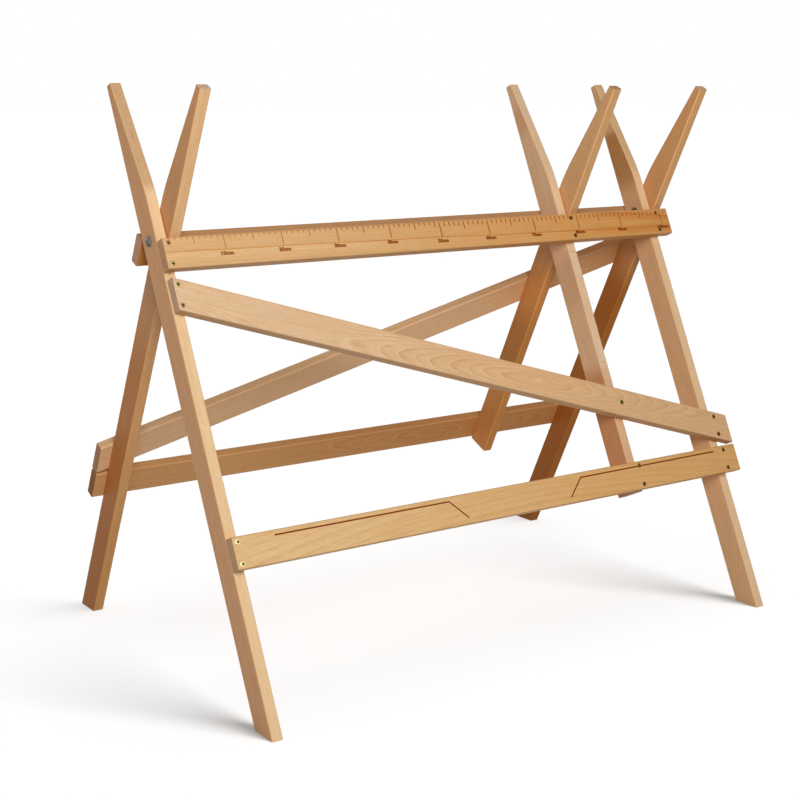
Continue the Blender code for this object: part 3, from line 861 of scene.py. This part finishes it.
def yellow_zinc(name):
    """Chromated zinc: brassy yellow that drifts to green and rose, darker in the recess.

    The screws at the lower left carry a painted highlight, and those towards the right painted
    shade.
    """
    material, shader, start = new_material(name)
    coords = start.node("ShaderNodeTexCoord", out="Object")
    drift = coords.stretched((45.0, 45.0, 45.0)).noise(2.0).between(0.42, 0.58)
    spot = coords.parts()
    # Painted shade: the screws darken towards the right
    shade_to_right = spot.between(-0.45, 0.10)
    # Painted highlight on the screws at the lower left
    painted_glint = (1.0 - shade_to_right) * (1.0 - spot.out("Z").between(0.25, 0.40))
    rose = start.maths("MAXIMUM", drift, (1.0 - shade_to_right) * (1.0 - spot.out("Z").between(0.58, 0.60)))
    speck = coords.stretched((2600.0, 2600.0, 2600.0)).noise(2.0)
    dirt = start.node("ShaderNodeAttribute", {"attribute_name": "dirt"}, out="Fac")
    film = rose.mixed(linear(182, 172, 118), linear(190, 142, 108))
    film = (0.95 * painted_glint).mixed(film, linear(255, 244, 172))
    shaded_film = rose.mixed(linear(98, 92, 36), linear(104, 72, 36))
    film = (0.8 * shade_to_right).mixed(film, shaded_film)
    film = (0.35 * speck).mixed(film, linear(92, 82, 52))
    # Darker in the recess, and more so towards the right as painted shade
    recess_colour = shade_to_right.mixed(linear(104, 70, 24), linear(70, 46, 10))
    feed(shader, "Base Color", dirt.between(0.05, 0.6).mixed(film, recess_colour))
    feed(shader, "Roughness", 0.26 + 0.22 * speck + 0.3 * dirt)
    shader.inputs["Metallic"].default_value = 1.0
    return material


def screw_seats(side):
    """The middle of each screw's face in a frame's own axes, with the names of their nodes."""
    seats = []
    names = []
    for node, (top, slope) in RAILS.items():
        if node.startswith("rear") != (side == "rear"):
            continue
        start = frame_span(side, node)[0]
        for leg in LEG_SIDES:
            centre = sum(frame_span(side, f"{side}_leg_{leg}")) / 2
            middle = top - RAIL_HEIGHT / math.cos(slope) / 2 - (centre - start) * math.tan(slope)
            offsets = (0.0,) if slope and leg == "middle" else (SCREW_OFFSET, -SCREW_OFFSET)
            for count, offset in enumerate(offsets, 1):
                seats.append(Vector((centre, SCREW_SINK - RAIL_FACE, middle + offset)))
                names.append(f"{node}_screw_{leg}_{count}")
    return seats, names


def drill_mesh(seats):
    """The countersunk holes of a frame's screws, open above their heads."""
    bm = bmesh.new()
    head = SCREW_HEAD + SCREW_PLAY
    shank = SCREW_SHANK + SCREW_PLAY
    levels = (
        (shank, -SCREW_LENGTH - SCREW_PLAY),
        (shank, shank - head - SCREW_RIM),
        (head, -SCREW_RIM),
        (head, HOLE_REACH),
    )
    for seat in seats:
        rings = [add_ring(bm, radius, height, SCREW_SIDES) for radius, height in levels]
        skin(bm, rings)
        bm.faces.new(rings[0])
        bm.faces.new(rings[-1])
        place = Matrix.Translation(seat) @ OUTWARD
        bmesh.ops.transform(bm, matrix=place, verts=[vertex for ring in rings for vertex in ring])
    return close_mesh("screw_holes", bm)


screw = add_object("wood_screw", screw_mesh("wood_screw"))
screw.data.transform(OUTWARD)
zinc = yellow_zinc("yellow_zinc")
tree, group = new_node_tree("drive_screws", Object=("Screw",), Int=("Seed",))
shape = group.node("GeometryNodeObjectInfo", sockets={"Object": group.out("Screw")}, out="Geometry")
spin = group.node("FunctionNodeRandomValue", {"data_type": "FLOAT"},
                  {2: 0.0, 3: math.pi / 2, "Seed": group.out("Seed")}, out=1)
turn = group.vector(0.0, spin, 0.0)
driven = group.node("GeometryNodeInstanceOnPoints",
                    sockets={"Points": group, "Instance": shape, "Rotation": turn})
end_tree(driven, zinc)
for seed, side in enumerate(frame_place, 5):
    seats, names = screw_seats(side)
    points = bpy.data.meshes.new("screw_points")
    points.from_pydata(seats, [], [])
    mesh = grow(tree, points, {"Screw": screw, "Seed": seed})
    mesh.transform(frame_place[side])
    screws = add_object(f"{side}_screws", mesh)
    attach(screws, f"{side}_frame")
    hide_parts(*names)
    for node, board in boards.items():
        if node.startswith("rear") == (side == "rear"):
            holes = drill_mesh(seats)
            holes.transform(frame_place[side])
            cut_away(board, holes)
bpy.data.objects.remove(screw)

# Pilot hole: a small blind hole in the front left leg, just under the ruler rail, left over from
# drilling for the screws.
PILOT_RADIUS = 0.0011
PILOT_DEPTH = 0.006
PILOT_HEIGHT = -0.0592
bm = bmesh.new()
rings = [add_ring(bm, PILOT_RADIUS, height, SCREW_SIDES) for height in (-PILOT_DEPTH, HOLE_REACH)]
skin(bm, rings)
bm.faces.new(rings[0])
bm.faces.new(rings[1])
hole = close_mesh("pilot_hole", bm)
leg_middle = sum(frame_span("front", "front_leg_left")) / 2
mouth = Matrix.Translation((leg_middle, -LEG_HALF_DEPTH, PILOT_HEIGHT))
hole.transform(frame_place["front"] @ mouth @ OUTWARD)
cut_away(boards["front_leg_left"], hole)

# Pivots: a zinc-plated carriage bolt through each outer pair of legs, with a thin washer between
# the legs, a washer on the far side and a hexagon nut with a locking collar.
HARDWARE_SIDES = 48
BOLT_HEAD_HEIGHT = 0.0036
BOLT_RIM = 0.0005
BOLT_EDGE = 0.0001
BOLT_DOME_STEPS = 9
BOLT_RADIUS = 0.0030
BOLT_NECK_HALF = 0.0032
BOLT_NECK_LENGTH = 0.0040
THREAD_LENGTH = 0.014
THREAD_PITCH = 0.001
THREAD_DEPTH = 0.0004
NUT_HALF_FLAT = 0.0050
NUT_HEX_SHARE = 0.7
NUT_CHAMFER = 0.0004
NUT_LOW_SHARE = 0.96
COLLAR_SHARE = 0.92
# The collar's rounded end: shares of its radius, and how far each lies under the top
COLLAR_ROUND = ((1.0, 0.0008), (0.97, 0.0003), (0.86, 0.0))
BORE = 0.0033
BORE_LENGTH = 0.045
WASHER_EDGE = 0.0002


def polygon(half_flat, corners, limit):
    """The radius of a regular polygon at an angle, with its corners turned down to a limit."""
    share = 2 * math.pi / corners
    return lambda angle: min(limit, half_flat / math.cos((angle + share / 2) % share - share / 2))


def turned_mesh(name, profile, bored):
    """A body about z from (radius, height) pairs, solid or about a bore."""
    bm = bmesh.new()
    rings = [add_ring(bm, radius, height, HARDWARE_SIDES) for radius, height in profile]
    if bored:
        rings += [add_ring(bm, BORE, profile[end][1], HARDWARE_SIDES) for end in (-1, 0)]
        rings.append(rings[0])
    else:
        bm.faces.new(rings[0])
        bm.faces.new(rings[-1])
    skin(bm, rings)
    return close_mesh(name, bm)


def bolt_mesh(name, length, head_radius):
    """A domed bolt from its head's top at z = 0, square under the head and threaded at its end."""
    dome_height = BOLT_HEAD_HEIGHT - BOLT_RIM
    dome_radius = (head_radius ** 2 + dome_height ** 2) / (2 * dome_height)
    dome_angle = math.asin(head_radius / dome_radius)
    profile = []
    for step in range(1, BOLT_DOME_STEPS + 1):
        angle = dome_angle * step / BOLT_DOME_STEPS
        profile.append((dome_radius * math.sin(angle), dome_radius * (1 - math.cos(angle))))
    neck = polygon(BOLT_NECK_HALF, 4, 2 * BOLT_NECK_HALF)
    neck_end = BOLT_HEAD_HEIGHT + BOLT_NECK_LENGTH
    profile += [(head_radius, BOLT_HEAD_HEIGHT - BOLT_EDGE),
                (head_radius - 2 * BOLT_EDGE, BOLT_HEAD_HEIGHT), (neck, BOLT_HEAD_HEIGHT),
                (neck, neck_end), (BOLT_RADIUS, neck_end)]
    for turn in range(round(THREAD_LENGTH / THREAD_PITCH)):
        crest = length - THREAD_LENGTH + turn * THREAD_PITCH
        profile.append((BOLT_RADIUS, crest))
        profile.append((BOLT_RADIUS - THREAD_DEPTH, crest + THREAD_PITCH / 2))
    profile.append((BOLT_RADIUS - THREAD_DEPTH, length))
    return turned_mesh(name, profile, bored=False)


def washer_mesh(name, length, radius):
    """A flat ring with broken edges."""
    edge = min(WASHER_EDGE, length / 4)
    profile = ((radius - edge, 0.0), (radius, edge), (radius, length - edge),
               (radius - edge, length))
    return turned_mesh(name, profile, bored=True)


def nut_mesh(name, length, radius):
    """A hexagon with chamfered corners, and the round collar that holds its locking ring."""
    shoulder = NUT_HEX_SHARE * length
    low = polygon(NUT_HALF_FLAT, 6, NUT_LOW_SHARE * radius)
    full = polygon(NUT_HALF_FLAT, 6, radius)
    collar = COLLAR_SHARE * NUT_HALF_FLAT
    profile = [(low, 0.0), (full, NUT_CHAMFER), (full, shoulder - NUT_CHAMFER), (low, shoulder),
               (collar, shoulder)]
    profile += [(share * collar, length - drop) for share, drop in COLLAR_ROUND]
    return turned_mesh(name, profile, bored=True)


def plated_steel(name):
    """Grey zinc plate, cloudy and finely scratched, with a painted dark reflection behind and on top,
    a painted highlight on its front edge, and painted shade on the right bolt.
    """
    material, shader, start = new_material(name)
    coords = start.node("ShaderNodeTexCoord", out="Object")
    cloud = coords.stretched((220.0, 220.0, 220.0)).noise(3.0)
    scratch = coords.stretched((400.0, 3500.0, 900.0)).noise(2.0)
    facing = coords.out("Normal").parts()
    # Painted reflection: which way the head faces makes it dark behind and bright on its front edge
    reflection_facing = 0.65 * facing.out("Z") - facing.out("Y")
    plate = cloud.between(0.3, 0.7).mixed(linear(98, 99, 99), linear(118, 118, 115))
    # Painted reflection: darker where the head faces up
    plate = (0.7 * facing.out("Z").between(0.40, 0.65)).mixed(plate, linear(62, 64, 54))
    plate = reflection_facing.between(0.68, 0.85).mixed(plate, linear(196, 194, 186))
    spot = coords.parts()
    # Painted shade on the bolt at the right
    plate = (0.8 * spot.between(0.0, 0.3)).mixed(plate, linear(76, 60, 42))
    # Where the painted dark reflection lies, the head is rougher and not metal
    not_painted_dark = reflection_facing.between(-0.14, 0.10)
    feed(shader, "Base Color", not_painted_dark.mixed(linear(20, 19, 15), plate))
    feed(shader, "Roughness", 0.45 - 0.30 * not_painted_dark + 0.10 * cloud + 0.10 * scratch)
    feed(shader, "Metallic", not_painted_dark)
    shader.inputs["Specular IOR Level"].default_value = 0.1
    bump = start.node("ShaderNodeBump",
                      sockets={"Strength": 0.1, "Distance": 0.0001, "Height": scratch})
    feed(shader, "Normal", bump)
    return material


steel = plated_steel("plated_steel")
along_x = Matrix.Rotation(math.pi / 2, 4, "Y")
pivot_makers = {"pivot_bolt": bolt_mesh, "spacer_washer": washer_mesh, "outer_washer": washer_mesh,
                "lock_nut": nut_mesh}
for end in ("left", "right"):
    for kind, maker in pivot_makers.items():
        node = f"{end}_{kind}"
        low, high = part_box(node)
        mesh = maker(node, high.x - low.x, (high.z - low.z) / 2)
        middle = Vector((low.x, (low.y + high.y) / 2, (low.z + high.z) / 2))
        mesh.transform(Matrix.Translation(middle) @ along_x)
        piece = add_object(f"{node}_steel", mesh, steel)
        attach(piece, "front_frame")
        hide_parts(node)
    under_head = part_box(f"{end}_pivot_bolt")[0].x + BOLT_HEAD_HEIGHT
    place = Matrix.Translation((under_head, pivot.y, pivot.z)) @ along_x
    for side in frame_place:
        hole = turned_mesh("bolt_hole", ((BORE, -HOLE_REACH), (BORE, BORE_LENGTH)), bored=False)
        hole.transform(place)
        cut_away(boards[f"{side}_leg_{end}"], hole)

# Floor: a plain white studio floor without a visible edge. It takes the shadows of the feet and
# rails, and looks as white as the backdrop to the camera, but throws less light up at the wood.
FLOOR_HALF = 40.0
FLOOR_BOUNCE = 0.16
FLOOR_SEEN = 0.455


def seen_directly(start):
    """1 where a ray comes from the camera, or by way of metal or glass."""
    path = start.node("ShaderNodeLightPath", out="Is Camera Ray")
    mirrored = start.maths("MAXIMUM", path.out("Is Glossy Ray"), path.out("Is Transmission Ray"))
    return start.maths("MAXIMUM", path, mirrored)


floor_mesh = bpy.data.meshes.new("studio_floor")
corners = [(-1, -1), (1, -1), (1, 1), (-1, 1)]
floor_mesh.from_pydata([(x * FLOOR_HALF, y * FLOOR_HALF, 0) for x, y in corners], [],
                       [(0, 1, 2, 3)])
material, shader, start = new_material("studio_floor")
seen = seen_directly(start)
feed(shader, "Base Color", seen.mixed((*[FLOOR_BOUNCE] * 3, 1.0), (*[FLOOR_SEEN] * 3, 1.0)))
shader.inputs["Roughness"].default_value = 0.9
shader.inputs["Specular IOR Level"].default_value = 0.0
floor = add_object("studio_floor", floor_mesh, material)

# Light: a white room, a large soft box in front that models the wood, and a weaker light low
# behind. The floor has lamps of its own overhead: all pieces shade the ceiling, which leaves soft
# bands under the rails, and each of the other two is shaded by one pair of standing legs, which
# leaves a dark streak at each foot.
ROOM_LIGHT = 0.11
SOFT_BOX_AIM = Vector((0.0, 0.0, 0.45))
SOFT_BOX_DISTANCE = 3.0
SOFT_BOX_SIZE = 1.6
SOFT_BOX_SHARE = 0.78
BACK_LIGHT_SHARE = 0.45
BACK_LIGHT_SPREAD = math.radians(60)
# The azimuth and elevation of both, in degrees
SOFT_BOX_FROM = (-25.0, 27.0)
BACK_LIGHT_FROM = (165.0, -25.0)
# Each floor lamp's share of the light, its spread, azimuth and elevation in degrees, and the boards
# that shade it, where not all pieces do
FLOOR_LAMPS = {
    "ceiling": (0.38, 65.0, 90.0, 86.0, ()),
    "front_lamp": (1.34, 19.0, 90.0, 80.0, ("front_leg_left", "front_leg_right")),
    "rear_lamp": (0.48, 15.0, 18.0, 59.0, ("rear_leg_left", "rear_leg_right")),
}

world = bpy.data.worlds.new("studio")
bpy.context.scene.world = world
world.use_nodes = True
sky = world.node_tree.nodes["Background"]
sky.inputs["Color"].default_value = (1.0, 1.0, 1.0, 1.0)
feed(sky, "Strength", ROOM_LIGHT + (1.0 - ROOM_LIGHT) * seen_directly(Socket(world.node_tree)))


def hang_lamp(lamp, azimuth, elevation, floor_state, shaded_by=()):
    """Hang a lamp round the sawhorse, aimed at it, and let the floor take its light or not.

    Where shaded_by names boards, they alone throw a shadow in its light. A floor that takes no
    light of a lamp doesn't shade it.
    """
    aside = math.radians(azimuth)
    up = math.radians(elevation)
    out = Vector((math.sin(aside) * math.cos(up), -math.cos(aside) * math.cos(up), math.sin(up)))
    hung = add_object(lamp.name, lamp)
    hung.location = SOFT_BOX_AIM + SOFT_BOX_DISTANCE * out
    hung.rotation_euler = (-out).to_track_quat("-Z", "Y").to_euler()
    receivers = bpy.data.collections.new(f"{lamp.name}_receivers")
    receivers.objects.link(floor)
    receivers.collection_objects[0].light_linking.link_state = floor_state
    hung.light_linking.receiver_collection = receivers
    if shaded_by:
        blockers = bpy.data.collections.new(f"{lamp.name}_blockers")
        for node in shaded_by:
            blockers.objects.link(boards[node])
        hung.light_linking.blocker_collection = blockers
    elif floor_state == "EXCLUDE":
        hung.light_linking.blocker_collection = receivers


soft_box = bpy.data.lights.new("soft_box", "AREA")
soft_box.shape = "DISK"
soft_box.size = SOFT_BOX_SIZE
soft_box.energy = SOFT_BOX_SHARE * (math.pi * SOFT_BOX_DISTANCE) ** 2
hang_lamp(soft_box, *SOFT_BOX_FROM, floor_state="EXCLUDE")
back_light = bpy.data.lights.new("back_light", "SUN")
back_light.energy = BACK_LIGHT_SHARE * math.pi
back_light.angle = BACK_LIGHT_SPREAD
hang_lamp(back_light, *BACK_LIGHT_FROM, floor_state="EXCLUDE")
for name, (share, spread, azimuth, elevation, shaded_by) in FLOOR_LAMPS.items():
    floor_lamp = bpy.data.lights.new(name, "SUN")
    floor_lamp.energy = share * math.pi
    floor_lamp.angle = math.radians(spread)
    hang_lamp(floor_lamp, azimuth, elevation, floor_state="INCLUDE", shaded_by=shaded_by)

# Camera: at standing height in front of the left end, where the photograph was taken from.
SENSOR_WIDTH = 36.0
FOCAL_LENGTH = 69.0405
CAMERA_PLACE = (-1.51801, -2.05053, 0.90184)
CAMERA_TURN = (78.1018, -0.4141, -35.3916)
lens = bpy.data.cameras.new("camera")
lens.sensor_width = SENSOR_WIDTH
lens.lens = FOCAL_LENGTH
camera = add_object("camera", lens)
camera.location = CAMERA_PLACE
camera.rotation_euler = [math.radians(angle) for angle in CAMERA_TURN]
bpy.context.scene.camera = camera
bpy.context.scene.view_settings.view_transform = "Standard"
